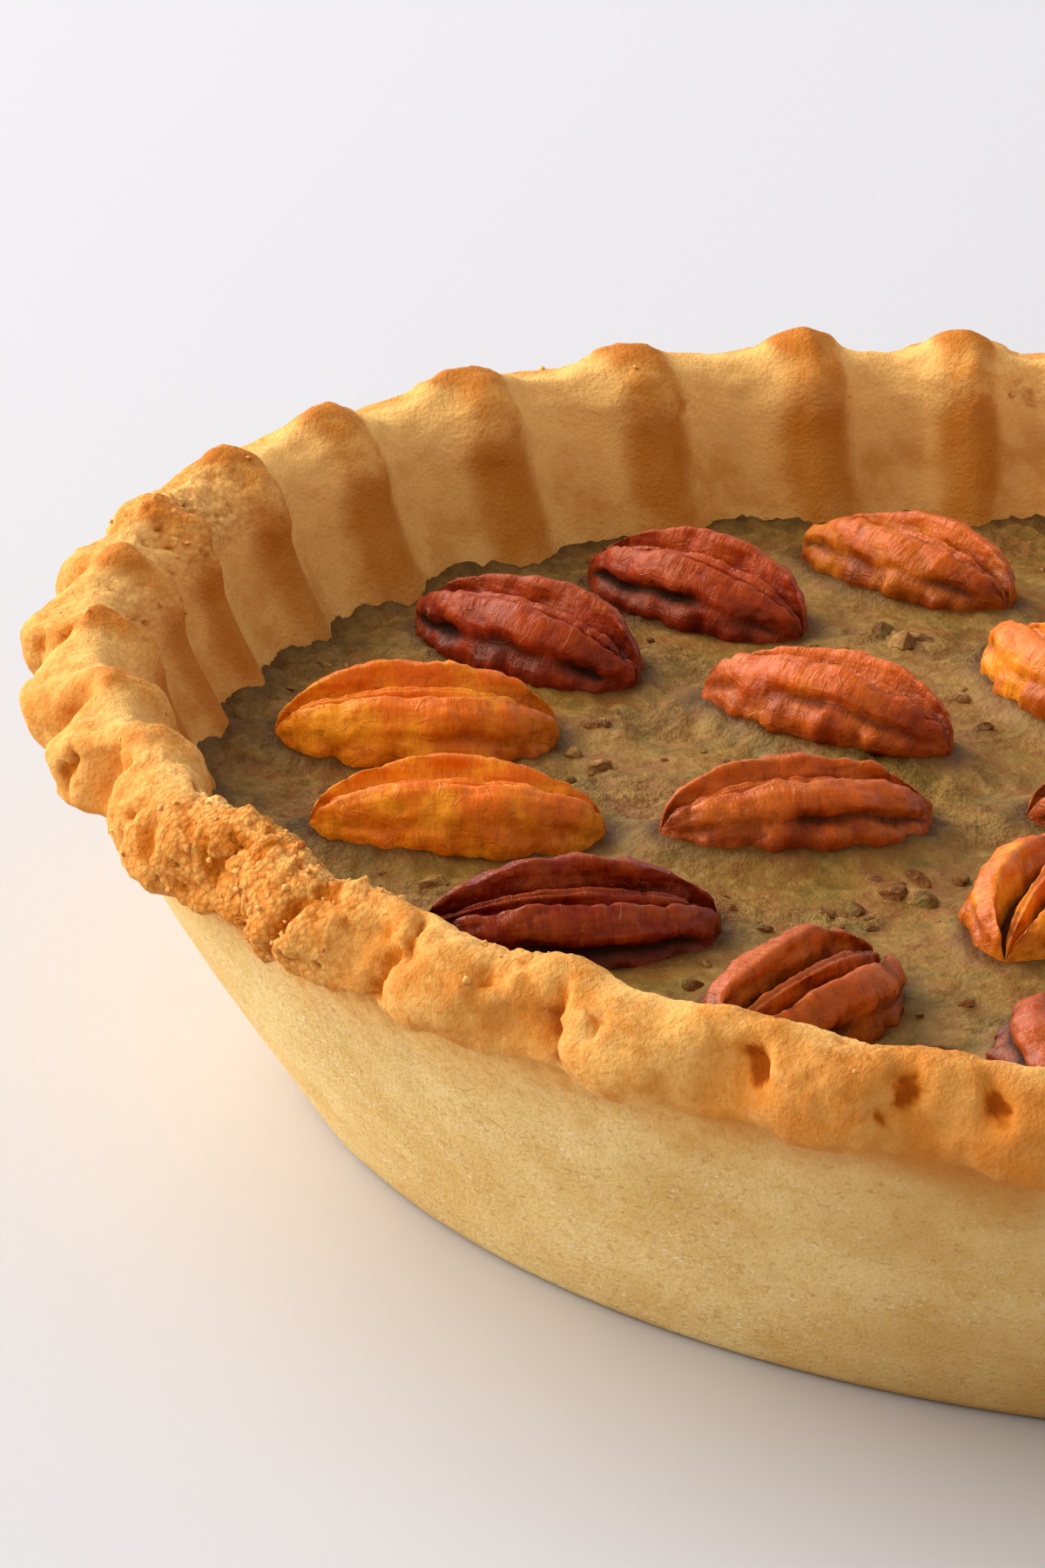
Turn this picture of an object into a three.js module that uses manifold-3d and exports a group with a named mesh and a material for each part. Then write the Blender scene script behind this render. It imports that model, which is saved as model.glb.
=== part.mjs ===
// A whole baked pecan pie, turned out of its pan: a shortcrust shell with a smooth flared wall and a
// hand-pinched rim, a set custard filling with chopped nuts baked into it, and pecan halves laid on top.
// Millimetres, +Z up. The origin is the middle of the flat base, where the pie stands.
import * as THREE from 'three';
import { mergeVertices } from 'three/addons/utils/BufferGeometryUtils.js';
import Module from 'manifold-3d';

const wasm = await Module();
wasm.setup();

// ---- Driving dimensions ------------------------------------------------------------------------

const gap = 0.35;                       // clear air kept between two pieces that touch in the real pie

// The shell, as it came out of a 9 inch pan: 228 mm across the top of the smooth wall.
const base = { radius: 88.5, edge: 1.4 };
const wall = { topRadius: 114, height: 37.4, plain: 35.6, bulge: 0.9 };
const shell = { floor: 5, foot: 6, footRadius: 84.6, underRim: 36.5, underRimRadius: 106.2 };

// The rim was pushed in from outside by a fingertip at each pinch, so it stands highest and furthest
// in there, and swells out into a lobe between two pinches. Angles run from +X towards +Y, in degrees.
const rim = {
  pinches: 35,
  first: 261,
  hardestAt: 128,                       // the side that was pinched hardest
  lightest: 0.45,                       // how much of that the opposite side got
  fluteDepth: 3.9,                      // how far the hardest pinch stands into the pie, as a flute
};
// A dry stretch of the rim crumbled in the oven and lost much of its pinching.
const crumbled = { at: 224, spread: 13, lost: 0.45 };
// The rim's section, from under its outer edge over the crest to its inner edge. Each row gives how far
// out of the wall's top it lies and how high, what a full lobe and a full pinch add to both, and how
// rough the pastry is there.
const rimSection = [
  { plain: [1.3, 36.4], lobe: [1.5, -0.4], pinch: [-1.8, 0.8], rough: 0.3 },
  { plain: [2.3, 39.6], lobe: [2.4, -0.4], pinch: [-4.1, 0.8], rough: 0.6 },
  { plain: [1.3, 43.4], lobe: [1.4, -1.2], pinch: [-2.6, 1.6], rough: 0.6 },
  { plain: [-2.6, 45.1], lobe: [0.3, -1.4], pinch: [-0.9, 1.9], rough: 0.5 },
  { plain: [-5.2, 43.4], lobe: [0.3, -1.2], pinch: [-3.3, 1.2], rough: 0.3 },
];
// Degrees by which each pinch strays from even spacing, round from the first one.
const pinchStray = [0, 1, 1, 1, 1, -3, 0, 1, 1, 3, 3, 3, 1, -1, -2, -2];

// The filling meets the crust at its level, and stands a little higher in the middle.
const filling = { level: 27, edgeRadius: 99.8, dome: 2.2, domeRadius: 88, lump: 0.35 };
const fluteFade = 0.72;                 // how much of a flute's depth is left at the filling

// Pecan halves, ridged side up: one in the middle, a ring round it, and a ring along the crust.
const nut = { length: 29.5, width: 15.5, height: 9.6, leastSunk: 0.7, mostSunk: 2.0 };
const innerRing = { count: 8, radius: 38.5, first: 111 };
const outerRing = { count: 17, radius: 74.6, first: 114.5 };
const middleNut = { radius: 3, angle: 304, turned: 70 };
// Degrees by which each half is turned off the radius, round each ring from its first.
const innerTurns = [9, -8, 1, 0, -9, 6, 15, -12];
const outerTurns = [26, 18, -5, 18, -3, -17, -1, 12, -8, 21, 4, -17, 9, -3, 16, -22, 7];
// How far each half was laid off its even place in the ring: on round it, in degrees, and outwards.
const innerStrays = [[-1.5, -4], [3.2, 0.3], [4.1, 2.7], [8.4, -3.2], [6, -1], [4, 0], [2, -1], [-1, -2]];
const outerStrays = {
  3: [0, 3], 6: [1, -2.5], 7: [3.1, 0.5], 8: [2.8, 0], 9: [2.4, 0], 10: [2, 0], 11: [1.7, 0],
  12: [1.3, 0], 13: [1, 0], 14: [0.7, 0], 15: [0.3, 0],
};
// The halves of the outer ring that lie rolled well over to one side, in degrees. The rest roll at random.
const outerRolls = { 5: -14, 6: -11 };

// Chopped pecans baked into the top of the filling.
const bits = { count: 44, size: 3.8, reach: 86 };

// ---- Shared rules ------------------------------------------------------------------------------

const turn = Math.PI / 180;
const lobeSteps = 6;                    // facets from one pinch to the next, on the rim
const fine = rim.pinches * lobeSteps;
const coarse = rim.pinches * 2;

const mix = (low, high, share) => low + (high - low) * share;

// What the steady draws below decide, each with a number of its own.
const about = {
  pinchStray: 1, pinchForce: 2,
  nutLength: 11, nutWidth: 12, nutHeight: 13, nutAway: 14, nutRoll: 15, nutPitch: 16, nutSunk: 17,
  bitAway: 21, bitAngle: 22, bitSize: 23, bitTip: 24, bitTurn: 25,
};

// A steady draw between two values: the same index and subject always give the same one.
function draw(index, subject, low, high) {
  const wave = Math.sin(index * 12.9898 + subject * 78.233) * 43758.5453;
  return mix(low, high, wave - Math.floor(wave));
}

// Low lumps that run round the pie, from about -1 to 1.
function lumps(angle, across) {
  return 0.42 * Math.sin(23 * angle + 1.7 * across + 0.6)
    + 0.34 * Math.sin(41 * angle - 2.9 * across + 2.2)
    + 0.24 * Math.sin(67 * angle + 4.1 * across + 4.4);
}

// Nothing rolled by hand is truly round.
function outOfRound(angle) {
  return 0.55 * Math.sin(2 * angle + 0.7) + 0.35 * Math.sin(3 * angle + 2.1);
}

function pinchAngle(index) {
  const rounds = Math.floor(index / rim.pinches);
  const place = index - rounds * rim.pinches;
  const stray = pinchStray[place] ?? draw(place, about.pinchStray, -1.5, 1.5);
  return (rim.first - 360 * index / rim.pinches + stray) * turn;
}

// How hard a pinch was made: more on one side of the pie, and never twice the same.
function pinchForce(index) {
  const side = 0.5 + 0.5 * Math.cos(pinchAngle(index) - rim.hardestAt * turn);
  const off = Math.abs(pinchAngle(index) / turn - crumbled.at) % 360;
  const dry = Math.exp(-((Math.min(off, 360 - off) / crumbled.spread) ** 2));
  const made = mix(rim.lightest, 1, side) * draw(index % rim.pinches, about.pinchForce, 0.85, 1.15);
  return made * (1 - crumbled.lost * dry);
}

// Where a facet edge of the rim stands: its angle, the force there, and how much of a pinch and of a
// lobe it is. Pinches are narrow and lobes wide.
function rimStation(step) {
  const index = Math.floor(step / lobeSteps);
  const share = step / lobeSteps - index;
  const force = mix(pinchForce(index), pinchForce(index + 1), share);
  const near = 0.5 + 0.5 * Math.cos(2 * Math.PI * share);
  return {
    angle: mix(pinchAngle(index), pinchAngle(index + 1), share),
    pinch: near ** 1.4 * force,
    lobe: (1 - near ** 1.4) * force,
    force,
  };
}

// One ring of points round the pie. place gives [radius, height] for a rim station.
function ring(segments, place) {
  const points = [];
  for (let k = 0; k < segments; k += 1) {
    const station = rimStation(k * fine / segments);
    const [radius, height] = place(station);
    points.push([radius * Math.cos(station.angle), radius * Math.sin(station.angle), height]);
  }
  return points;
}

// The faces between two rings. Each step of the finer ring closes on the nearest point of the other.
function bandFaces(low, high) {
  const [many, few] = low.count < high.count ? [high, low] : [low, high];
  const manyAt = (k) => many.start + k % many.count;
  const nearest = (k) => Math.round((k + 0.5) * few.count / many.count);
  const fewAt = (k) => few.start + nearest(k) % few.count;
  const faces = [];
  for (let k = 0; k < many.count; k += 1) {
    faces.push([manyAt(k), fewAt(k), manyAt(k + 1)]);
    if (nearest(k + 1) !== nearest(k)) faces.push([manyAt(k + 1), fewAt(k), fewAt(k + 1)]);
  }
  return many === low ? faces : faces.map((face) => face.toReversed());
}

// A closed skin over a stack of rings, from the middle of the underside to the middle of the top.
// The rings run clockwise seen from above, as the pinches are counted.
function skinOver(rings, underside, topside) {
  const points = [underside, ...rings.flat(), topside];
  let start = 1;
  const rows = rings.map((ringPoints) => {
    start += ringPoints.length;
    return { start: start - ringPoints.length, count: ringPoints.length };
  });
  const [first, last] = [rows[0], rows.at(-1)];
  const faces = [];
  for (let k = 0; k < first.count; k += 1) {
    faces.push([0, first.start + k, first.start + (k + 1) % first.count]);
  }
  for (let k = 0; k + 1 < rows.length; k += 1) faces.push(...bandFaces(rows[k], rows[k + 1]));
  for (let k = 0; k < last.count; k += 1) {
    faces.push([points.length - 1, last.start + (k + 1) % last.count, last.start + k]);
  }
  const geometry = new THREE.BufferGeometry();
  geometry.setAttribute('position', new THREE.Float32BufferAttribute(points.flat(), 3));
  geometry.setIndex(faces.flat());
  return geometry;
}

function toSolid(geometry) {
  const bare = geometry.clone();
  bare.deleteAttribute('normal');
  bare.deleteAttribute('uv');
  const merged = mergeVertices(bare, 1e-4);
  return new wasm.Manifold(new wasm.Mesh({
    numProp: 3,
    vertProperties: Float32Array.from(merged.attributes.position.array),
    triVerts: Uint32Array.from(merged.index.array),
  }));
}

function toGeometry(solid) {
  const mesh = solid.getMesh();
  const geometry = new THREE.BufferGeometry();
  geometry.setAttribute('position', new THREE.Float32BufferAttribute(mesh.vertProperties, 3));
  geometry.setIndex(Array.from(mesh.triVerts));
  return geometry;
}

function piece(name, geometry, material) {
  geometry.computeVertexNormals();
  const mesh = new THREE.Mesh(geometry, material);
  mesh.name = name;
  return mesh;
}

// ---- Crust -------------------------------------------------------------------------------------

function wallRadius(height, angle) {
  const rise = height / wall.height;
  return mix(base.radius, wall.topRadius, rise) + wall.bulge * Math.sin(Math.PI * rise)
    + outOfRound(angle) * rise;
}

// Inside, the flutes are strongest at the rim and fade towards the floor of the shell.
function fluteRadius(station, pocket, depthShare) {
  return pocket + outOfRound(station.angle) * 0.8 - rim.fluteDepth * depthShare * station.pinch;
}

const levelRadius = (station) => fluteRadius(station, filling.edgeRadius, fluteFade);

function crust() {
  const onWall = (height) => ({ angle }) => [wallRadius(height, angle), height];
  const onRim = ({ plain, lobe, pinch, rough }, row) => (station) => {
    const { angle, force } = station;
    const knob = rough * lumps(angle, row);
    const out = plain[0] + lobe[0] * station.lobe + pinch[0] * station.pinch;
    const up = plain[1] + force * (lobe[1] * station.lobe + pinch[1] * station.pinch);
    return [wall.topRadius + outOfRound(angle) + out + knob, up + 0.6 * rough * lumps(angle + 1, row)];
  };
  const rings = [
    ring(coarse, ({ angle }) => [base.radius - base.edge + 0.3 * outOfRound(angle), 0]),
    ring(coarse, ({ angle }) => [wallRadius(base.edge, angle), base.edge]),
    ring(coarse, onWall(wall.height * 0.5)),
    ring(coarse, onWall(wall.height * 0.84)),
    ring(fine, onWall(wall.plain)),
    ...rimSection.map((section, row) => ring(fine, onRim(section, row + 1))),
    ring(fine, (station) => [fluteRadius(station, shell.underRimRadius, 1), shell.underRim]),
    ring(fine, (station) => [levelRadius(station), filling.level]),
    ring(coarse, ({ angle }) => [shell.footRadius + 0.4 * outOfRound(angle), shell.foot]),
  ];
  return skinOver(rings, [0, 0, 0], [0, 0, shell.floor]);
}

// ---- Pecan halves ------------------------------------------------------------------------------

// Half a section, as shares of half the width and of the height: the flat underside, the swollen
// side lobe, the deep groove, and the narrow ridge that runs down the middle.
const halfSection = [[0.58, 0], [0.96, 0.2], [0.98, 0.5], [0.7, 0.87], [0.3, 0.68], [0.13, 0.95]];

// How wide and how high a half is at a share along its length, from -1 to 1. One end is blunter.
const nutWidth = (share) => (1 - Math.abs(share) ** 2.3) ** 0.62 * (1 - 0.1 * share);
const nutHeight = (share) => 0.34 + 0.66 * (1 - Math.abs(share) ** 2.2) ** 0.7;

// The half is slightly bowed, so its ends stand a little off the flat.
const liftOfEnd = (share, size) => 0.05 * size.height * share ** 2;

const nutShares = [0.93, 0.76, 0.5, 0.18, -0.18, -0.5, -0.76, -0.93];

function nutHalf(size) {
  const section = [...halfSection, ...halfSection.toReversed().map(([out, up]) => [-out, up])];
  const rings = nutShares.map((share) => section.map(([out, up]) => [
    share * size.length / 2,
    out * nutWidth(share) * size.width / 2,
    (0.06 + up * 0.94) * nutHeight(share) * size.height + liftOfEnd(share, size),
  ]));
  const end = (side) => [side * size.length / 2, 0, 0.2 * size.height + liftOfEnd(side, size)];
  return skinOver(rings, end(1), end(-1));
}

// A plug with the half's outline and a little air round it, which leaves its seat in the filling.
function nutSeat(size) {
  const outline = [];
  const edge = (share, side) => new THREE.Vector2(
    share * (size.length / 2 + gap),
    side * (nutWidth(share) * size.width / 2 + gap),
  );
  for (const share of [-0.93, -0.6, -0.18, 0.18, 0.6, 0.93]) outline.push(edge(share, -1));
  outline.push(new THREE.Vector2(size.length / 2 + 2 * gap, 0));
  for (const share of [0.93, 0.6, 0.18, -0.18, -0.6, -0.93]) outline.push(edge(share, 1));
  outline.push(new THREE.Vector2(-size.length / 2 - 2 * gap, 0));
  const plug = new THREE.ExtrudeGeometry(new THREE.Shape(outline), {
    depth: 2 * size.height, steps: 1, bevelEnabled: false,
  });
  return plug.translate(0, 0, -gap);
}

// Every half's place, with the small differences in size, tilt and depth that nuts have.
function nutPlaces() {
  const places = [];
  const lay = (radius, angle, turned, rolled) => {
    const index = places.length;
    const size = {
      length: nut.length * draw(index, about.nutLength, 0.94, 1.07),
      width: nut.width * draw(index, about.nutWidth, 0.93, 1.06),
      height: nut.height * draw(index, about.nutHeight, 0.92, 1.08),
    };
    const away = radius * draw(index, about.nutAway, 0.98, 1.02);
    const matrix = new THREE.Matrix4().makeRotationFromEuler(new THREE.Euler(
      (rolled ?? draw(index, about.nutRoll, -7, 7)) * turn,
      draw(index, about.nutPitch, -4, 4) * turn,
      (angle + turned) * turn,
      'ZYX',
    ));
    const [x, y] = [away * Math.cos(angle * turn), away * Math.sin(angle * turn)];
    const sunk = draw(index, about.nutSunk, nut.leastSunk, nut.mostSunk);
    matrix.setPosition(x, y, fillingHeight(x, y) - sunk);
    places.push({ size, matrix });
  };
  const layRing = ({ count, radius, first }, strays, turns, rolls) => {
    for (let k = 0; k < count; k += 1) {
      const [onwards, outwards] = strays[k] ?? [0, 0];
      lay(radius + outwards, first + 360 * k / count + onwards, turns[k], rolls[k]);
    }
  };
  layRing(outerRing, outerStrays, outerTurns, outerRolls);
  layRing(innerRing, innerStrays, innerTurns, {});
  lay(middleNut.radius, middleNut.angle, middleNut.turned);
  return places;
}

// ---- Filling -----------------------------------------------------------------------------------

function fillingHeight(x, y) {
  const toEdge = Math.min(1, Math.hypot(x, y) / filling.domeRadius);
  const dome = filling.dome * (1 - toEdge ** 4);
  const lump = 0.5 * Math.sin(0.11 * x + 0.07 * y + 1) + 0.5 * Math.sin(0.06 * x - 0.13 * y + 2.6);
  return filling.level + dome + filling.lump * lump;
}

// The set filling with neither seats nor chopped nuts: it fills the shell and follows the flutes.
function fillingBody() {
  const flat = (segments, radius) => ring(segments, ({ angle }) => [
    radius,
    fillingHeight(radius * Math.cos(angle), radius * Math.sin(angle)),
  ]);
  const rings = [
    ring(coarse, ({ angle }) => [shell.footRadius - 2 * gap + 0.4 * outOfRound(angle), shell.foot + gap]),
    ring(fine, (station) => [levelRadius(station) - gap, filling.level]),
    flat(coarse, 90),
    flat(coarse / 2, 74),
    flat(coarse / 2, 52),
    flat(coarse / 2, 26),
  ];
  return toSolid(skinOver(rings, [0, 0, shell.floor + 2 * gap], [0, 0, fillingHeight(0, 0)]));
}

// Chopped pecans stand out of the filling where no whole half lies and clear of the crust.
function fillingSolid(places) {
  let body = fillingBody();
  let placed = 0;
  for (let index = 0; placed < bits.count; index += 1) {
    const radius = bits.reach * Math.sqrt(draw(index, about.bitAway, 0, 1));
    const angle = draw(index, about.bitAngle, 0, 2 * Math.PI);
    const spot = new THREE.Vector3(radius * Math.cos(angle), radius * Math.sin(angle), filling.level);
    const size = bits.size * draw(index, about.bitSize, 0.6, 1.25);
    if (places.some((place) => isUnder(place, spot, size))) continue;
    const chip = new THREE.OctahedronGeometry(size / 2);
    chip.rotateX(draw(index, about.bitTip, 0, Math.PI)).scale(1.2, 0.9, 0.7);
    chip.rotateZ(draw(index, about.bitTurn, 0, 2 * Math.PI));
    chip.translate(spot.x, spot.y, fillingHeight(spot.x, spot.y));
    body = body.add(toSolid(chip));
    placed += 1;
  }
  for (const { size, matrix } of places) {
    body = body.subtract(toSolid(nutSeat(size).applyMatrix4(matrix)));
  }
  return toGeometry(body);
}

function isUnder({ size, matrix }, spot, margin) {
  const local = spot.clone().applyMatrix4(matrix.clone().invert());
  return Math.abs(local.x) < size.length / 2 + margin && Math.abs(local.y) < size.width / 2 + margin;
}

// ---- The pie -----------------------------------------------------------------------------------

const bakedPastry = new THREE.MeshStandardMaterial({ color: 0xd9a866, roughness: 0.85, metalness: 0 });
const setFilling = new THREE.MeshStandardMaterial({ color: 0x9d8b5c, roughness: 0.6, metalness: 0 });
const pecanSkin = new THREE.MeshStandardMaterial({ color: 0x8c3d18, roughness: 0.5, metalness: 0 });

const pie = new THREE.Group();
const places = nutPlaces();
pie.add(piece('crust', crust(), bakedPastry));
pie.add(piece('filling', fillingSolid(places), setFilling));
places.forEach(({ size, matrix }, index) => {
  const name = `pecan_${String(index + 1).padStart(2, '0')}`;
  pie.add(piece(name, nutHalf(size).applyMatrix4(matrix), pecanSkin));
});

export default pie;
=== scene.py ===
"""A whole baked pecan pie, turned out of its pan: a shortcrust shell with a hand-pinched rim, a set filling
with chopped nuts in it, and pecan halves laid on top in two rings round one in the middle."""

import math

import bpy
import numpy as np
from mathutils import Matrix, Vector, noise


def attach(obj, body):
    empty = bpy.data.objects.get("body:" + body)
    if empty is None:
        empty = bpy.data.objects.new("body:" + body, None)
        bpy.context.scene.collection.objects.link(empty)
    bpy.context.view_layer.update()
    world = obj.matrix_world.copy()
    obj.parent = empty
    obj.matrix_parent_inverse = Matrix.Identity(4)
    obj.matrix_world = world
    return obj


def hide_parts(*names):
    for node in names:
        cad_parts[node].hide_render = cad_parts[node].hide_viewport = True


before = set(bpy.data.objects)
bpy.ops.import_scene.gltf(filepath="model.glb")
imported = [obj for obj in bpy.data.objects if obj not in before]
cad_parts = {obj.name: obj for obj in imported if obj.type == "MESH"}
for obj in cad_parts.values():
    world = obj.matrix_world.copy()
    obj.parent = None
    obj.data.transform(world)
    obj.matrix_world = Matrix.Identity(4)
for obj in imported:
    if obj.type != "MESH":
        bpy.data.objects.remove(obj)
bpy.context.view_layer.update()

# ---- Crust ------------------------------------------------------------------------------------------
# A shell of sweet shortcrust, pressed by hand into a smooth flared pan and baked until its rim browned.
# The rim is a thick roll that a fingertip pushed in at each pinch. Where the dough was dry it broke
# into crumbs and small cracks.

mm = 0.001

base_radius = 88.5
base_edge = 1.4
wall_top_radius = 114.0
wall_height = 37.4
plain_height = 35.6
bend_height = 31.4
wall_bulge = 0.9
shell_floor = 5.0
foot = (84.6, 6.0)
under_rim = (106.2, 36.5)
level = 27.0
level_radius = 99.8

pinches = 35
first_pinch = 261.0
hardest_at = 128.0
lightest = 0.45
flute_depth = 3.9
flute_at_level = 0.72
crumbled_at, crumbled_spread, crumbled_lost = 224.0, 13.0, 0.45
strays = [0, 1, 1, 1, 1, -3, 0, 1, 1, 3, 3, 3, 1, -1, -2, -2]

# The rim's section from under its outer edge over the crest to its inner edge: how far out of the wall's
# top each place lies and how high, what a full lobe and a full pinch add, and how rough the pastry is.
rim_section = [
    ((1.3, 36.4), (1.5, -0.4), (-1.8, 0.8), 0.3),
    ((2.3, 39.6), (2.4, -0.4), (-4.1, 0.8), 0.6),
    ((1.3, 43.4), (1.4, -1.2), (-2.6, 1.6), 0.6),
    ((-2.6, 45.1), (0.3, -1.4), (-0.9, 1.9), 0.5),
    ((-5.2, 43.4), (0.3, -1.2), (-3.3, 1.2), 0.3),
]

columns_per_pinch = 36
columns = pinches * columns_per_pinch
wall_rows = 7
lip_rows = 9
rim_rows = 48
flute_rows = 6


def mix(low, high, share):
    return low + (high - low) * share


def draw(index, subject, low, high):
    """A steady draw between two values: the same index and subject always give the same one."""
    wave = np.sin(index * 12.9898 + subject * 78.233) * 43758.5453
    return mix(low, high, wave - np.floor(wave))


def lumps(angle, across):
    return (
        0.42 * np.sin(23 * angle + 1.7 * across + 0.6)
        + 0.34 * np.sin(41 * angle - 2.9 * across + 2.2)
        + 0.24 * np.sin(67 * angle + 4.1 * across + 4.4)
    )


def out_of_round(angle):
    return 0.55 * np.sin(2 * angle + 0.7) + 0.35 * np.sin(3 * angle + 2.1)


def wall_radius(height, angle):
    rise = height / wall_height
    cone = mix(base_radius, wall_top_radius, rise) + wall_bulge * math.sin(math.pi * rise)
    return cone + out_of_round(angle) * rise


def bump_of(distance, width):
    """1 in the middle of something that is width across on each side, and 0 well away from it."""
    return np.exp(-((distance / width) ** 2))


def off_angle(one, other):
    """How far one angle is from another, the short way round."""
    return (one - other + np.pi) % (2 * np.pi) - np.pi


def ramp(value, start, end):
    """0 before start, 1 after end, and a smooth rise between them."""
    share = np.clip((value - start) / (end - start), 0, 1)
    return share * share * (3 - 2 * share)


strays += [draw(place, 1, -1.5, 1.5) for place in range(len(strays), pinches)] + strays[:1]
pinch_angles = np.radians(first_pinch - 360 / pinches * np.arange(pinches + 1) + strays)
pinch_forces = mix(lightest, 1, 0.5 + 0.5 * np.cos(pinch_angles - math.radians(hardest_at)))
pinch_forces *= draw(np.arange(pinches + 1) % pinches, 2, 0.85, 1.15)
pinch_forces *= 1 - crumbled_lost * bump_of(
    off_angle(pinch_angles, math.radians(crumbled_at)), math.radians(crumbled_spread)
)

# Each column stands at its own angle, and is so much of a pinch and so much of a lobe.
column = np.arange(columns)
pinch_before = column // columns_per_pinch
past_pinch = column / columns_per_pinch - pinch_before
angle_of = mix(pinch_angles[pinch_before], pinch_angles[pinch_before + 1], past_pinch)
force_of = mix(pinch_forces[pinch_before], pinch_forces[pinch_before + 1], past_pinch)
nearness = (0.5 + 0.5 * np.cos(2 * np.pi * past_pinch)) ** 1.4
pinch_of = nearness * force_of
lobe_of = (1 - nearness) * force_of


def at_height(radius, height):
    """One row round the shell, as a radius and a height at each column."""
    return np.stack([radius + 0 * angle_of, height + 0 * angle_of], axis=1)


def flute(pocket, share):
    return pocket + 0.8 * out_of_round(angle_of) - flute_depth * share * pinch_of


knots = [at_height(wall_radius(height, angle_of), height) for height in (bend_height, plain_height)]
for row, (plain, lobe, pinch, rough) in enumerate(rim_section, start=1):
    out = plain[0] + lobe[0] * lobe_of + pinch[0] * pinch_of + rough * lumps(angle_of, row)
    up = plain[1] + force_of * (lobe[1] * lobe_of + pinch[1] * pinch_of)
    up = up + 0.6 * rough * lumps(angle_of + 1, row)
    knots.append(at_height(wall_top_radius + out_of_round(angle_of) + out, up))
knots.append(at_height(flute(under_rim[0], 1), under_rim[1]))
knots.append(at_height(flute(level_radius, flute_at_level), level))
knots.append(at_height(foot[0] + 0.4 * out_of_round(angle_of), foot[1]))
knots = np.array(knots)

# How far along the section each knot lies, in millimetres from where the wall ends.
steps = np.linalg.norm(np.diff(knots.mean(axis=1), axis=0), axis=1)
reach = np.concatenate([[0], np.cumsum(steps)]) - steps[0]


def smooth_curve(knots, reach, at):
    """The points that far along one smooth curve through the knots, each of which lies at its reach."""
    k = np.clip(np.searchsorted(reach, at, side="right") - 1, 1, len(reach) - 3)

    def wide(value):
        return np.reshape(value, np.shape(value) + (1,) * (knots.ndim - 1))

    gaps = np.diff(reach)
    slopes = np.diff(knots, axis=0) / wide(gaps)
    before = mix(slopes[k - 1], slopes[k], wide(gaps[k - 1] / (gaps[k - 1] + gaps[k])))
    after = mix(slopes[k], slopes[k + 1], wide(gaps[k] / (gaps[k] + gaps[k + 1])))
    span, s = wide(gaps[k]), wide((at - reach[k]) / gaps[k])
    return (
        (2 * s**3 - 3 * s**2 + 1) * knots[k]
        + (s**3 - 2 * s**2 + s) * span * before
        + (3 * s**2 - 2 * s**3) * knots[k + 1]
        + (s**3 - s**2) * span * after
    )


rim_end, flute_end = reach[7], reach[8]
rows = [at_height(radius, 0) for radius in (0, 50, base_radius - 2.6 * base_edge)]
rows += [at_height(base_radius - base_edge + 0.3 * out_of_round(angle_of), 0)]
edge_middle = wall_radius(0.25 * base_edge, angle_of) - 0.2 * base_edge
rows += [at_height(edge_middle, 0.3 * base_edge)]
wall_heights = np.concatenate([
    np.linspace(base_edge, bend_height, wall_rows),
    np.linspace(bend_height, plain_height, lip_rows + 1)[1:-1],
])
rows += [at_height(wall_radius(height, angle_of), height) for height in wall_heights]
section_rows = np.concatenate([
    np.linspace(0, rim_end, rim_rows + 1),
    np.linspace(rim_end, flute_end + 2, flute_rows + 1)[1:],
])
first_section_row = len(rows)
rows += [smooth_curve(knots, reach, distance) for distance in section_rows]
rows += [at_height(foot[0] + 0.4 * out_of_round(angle_of), foot[1]), at_height(0, shell_floor)]
rows = np.array(rows)

# How far along the section each row lies: below 0 on the plain wall.
along_section = np.full(len(rows), -40.0)
along_section[5:first_section_row] = wall_heights - plain_height
along_section[first_section_row : first_section_row + len(section_rows)] = section_rows
along_section[-2:] = flute_end + 20


def pick(piece):
    bpy.ops.object.select_all(action="DESELECT")
    piece.select_set(True)
    bpy.context.view_layer.objects.active = piece


def points_of(piece):
    """Every point of a piece, in millimetres."""
    flat = np.empty(3 * len(piece.data.vertices))
    piece.data.vertices.foreach_get("co", flat)
    return flat.reshape(-1, 3) / mm


def normals_of(piece):
    flat = np.empty(3 * len(piece.data.vertices))
    piece.data.vertex_normals.foreach_get("vector", flat)
    return flat.reshape(-1, 3)


def set_points(piece, points):
    piece.data.vertices.foreach_set("co", (points * mm).ravel())
    piece.data.update()


def set_value(piece, name, values):
    """Writes one number a point, which the piece's finish reads by name."""
    attribute = piece.data.attributes.new(name, "FLOAT", "POINT")
    attribute.data.foreach_set("value", np.asarray(values, np.float32))


def fractal(points, size, depth=3):
    """Soft lumps of about that size, from -1 to 1."""
    return np.array([noise.fractal(Vector(p), 1.0, 2.0, depth) for p in points / size])


def grains(points, size):
    """Rounded grains of that size packed together: 1 on their tops, 0 between them."""
    nearest = [noise.voronoi(Vector(p))[0][0] for p in points / size]
    return 1 - np.clip(np.array(nearest), 0, 1)


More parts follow.
